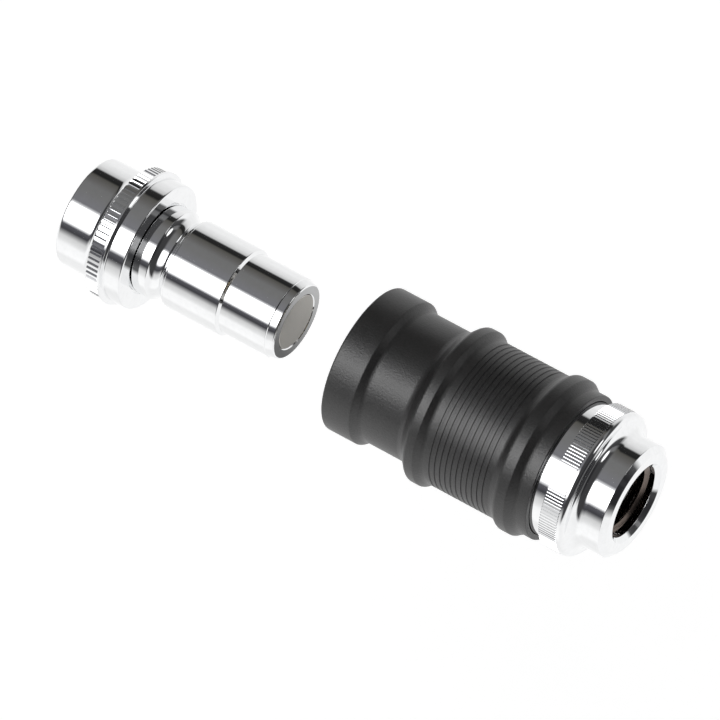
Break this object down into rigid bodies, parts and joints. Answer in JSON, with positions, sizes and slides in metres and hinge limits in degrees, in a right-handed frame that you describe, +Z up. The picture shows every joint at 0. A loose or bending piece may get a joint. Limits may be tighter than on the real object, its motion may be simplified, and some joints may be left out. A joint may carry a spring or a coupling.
{
  "type": "liquid cooling quick coupling",
  "caption": "Ball-lock quick coupling for a liquid cooling loop: plug and sleeved socket, each with a shut-off valve and a threaded port, shown pulled apart.",
  "frame": {"origin": "centre of the socket's port face", "axes": "+X along the coupling's common axis, out of the socket's port; -X points out of the plug's port; +Z up"},
  "size_m": [0.1103, 0.0286, 0.0286],
  "materials": {
    "chrome_body": "bright nickel and chrome plate",
    "chrome_socket": "bright chrome plate, polished",
    "black_anodised": "matte black anodised aluminium, fine blasted grain",
    "spring_wire": "drawn spring wire",
    "ball_steel": "polished bearing steel",
    "seal_rubber": "black moulded rubber",
    "turned_brass": "turned brass, satin",
    "satin_stem": "satin turned steel",
    "chrome_plug": "bright chrome plate, polished",
    "chrome_nose": "bright chrome plate, polished",
    "satin_valve": "satin turned face"
  },
  "bodies": {
    "socket": {"socket_body": "chrome_body", "socket_port": "chrome_socket", "nose_seal": "seal_rubber", "body_seal": "seal_rubber", "valve_stem": "satin_stem", "stem_seal": "seal_rubber", "stem_guide": "satin_stem", "sleeve_spring": "spring_wire", "valve_spring": "spring_wire"},
    "sleeve": {"release_sleeve": "black_anodised"},
    "valve": {"valve_sleeve": "turned_brass", "valve_seal": "seal_rubber"},
    "plug": {"plug_nose": "chrome_nose", "plug_port": "chrome_plug", "plug_seal": "seal_rubber", "poppet_guide": "satin_stem", "guide_clip": "satin_stem", "poppet_spring": "spring_wire"},
    "poppet": {"poppet": "satin_valve", "poppet_seal": "seal_rubber"},
    "ball_1": {"lock_ball_1": "ball_steel"},
    "ball_2": {"lock_ball_2": "ball_steel"},
    "ball_3": {"lock_ball_3": "ball_steel"},
    "ball_4": {"lock_ball_4": "ball_steel"},
    "ball_5": {"lock_ball_5": "ball_steel"},
    "ball_6": {"lock_ball_6": "ball_steel"},
    "ball_7": {"lock_ball_7": "ball_steel"},
    "ball_8": {"lock_ball_8": "ball_steel"}
  },
  "joints": [
    {"name": "plug_slide", "type": "slide", "parent": "socket", "child": "plug", "axis": [1, 0, 0], "range_m": [0, 0.0272]},
    {"name": "sleeve_slide", "type": "slide", "parent": "socket", "child": "sleeve", "axis": [1, 0, 0], "range_m": [0, 0.00165], "stiffness_N_per_m": 800, "springref_m": -0.004, "deforming": ["sleeve_spring"]},
    {"name": "valve_slide", "type": "slide", "parent": "socket", "child": "valve", "axis": [1, 0, 0], "range_m": [0, 0.005], "stiffness_N_per_m": 500, "springref_m": -0.006, "deforming": ["valve_spring"]},
    {"name": "poppet_slide", "type": "slide", "parent": "plug", "child": "poppet", "axis": [-1, 0, 0], "range_m": [0, 0.005], "stiffness_N_per_m": 400, "springref_m": -0.006, "deforming": ["poppet_spring"]},
    {"name": "ball_1_slide", "type": "slide", "parent": "socket", "child": "ball_1", "axis": [0, 0, -1], "range_m": [0, 0.00066]},
    {"name": "ball_2_slide", "type": "slide", "parent": "socket", "child": "ball_2", "axis": [0, 0.7071, -0.7071], "range_m": [0, 0.00066]},
    {"name": "ball_3_slide", "type": "slide", "parent": "socket", "child": "ball_3", "axis": [0, 1, 0], "range_m": [0, 0.00066]},
    {"name": "ball_4_slide", "type": "slide", "parent": "socket", "child": "ball_4", "axis": [0, 0.7071, 0.7071], "range_m": [0, 0.00066]},
    {"name": "ball_5_slide", "type": "slide", "parent": "socket", "child": "ball_5", "axis": [0, 0, 1], "range_m": [0, 0.00066]},
    {"name": "ball_6_slide", "type": "slide", "parent": "socket", "child": "ball_6", "axis": [0, -0.7071, 0.7071], "range_m": [0, 0.00066]},
    {"name": "ball_7_slide", "type": "slide", "parent": "socket", "child": "ball_7", "axis": [0, -1, 0], "range_m": [0, 0.00066]},
    {"name": "ball_8_slide", "type": "slide", "parent": "socket", "child": "ball_8", "axis": [0, -0.7071, -0.7071], "range_m": [0, 0.00066]}
  ],
  "couplings": [
    {"joint": "ball_1_slide", "follows": "sleeve_slide", "ratio": 0.39394},
    {"joint": "ball_2_slide", "follows": "sleeve_slide", "ratio": 0.39394},
    {"joint": "ball_3_slide", "follows": "sleeve_slide", "ratio": 0.39394},
    {"joint": "ball_4_slide", "follows": "sleeve_slide", "ratio": 0.39394},
    {"joint": "ball_5_slide", "follows": "sleeve_slide", "ratio": 0.39394},
    {"joint": "ball_6_slide", "follows": "sleeve_slide", "ratio": 0.39394},
    {"joint": "ball_7_slide", "follows": "sleeve_slide", "ratio": 0.39394},
    {"joint": "ball_8_slide", "follows": "sleeve_slide", "ratio": 0.39394}
  ]
}
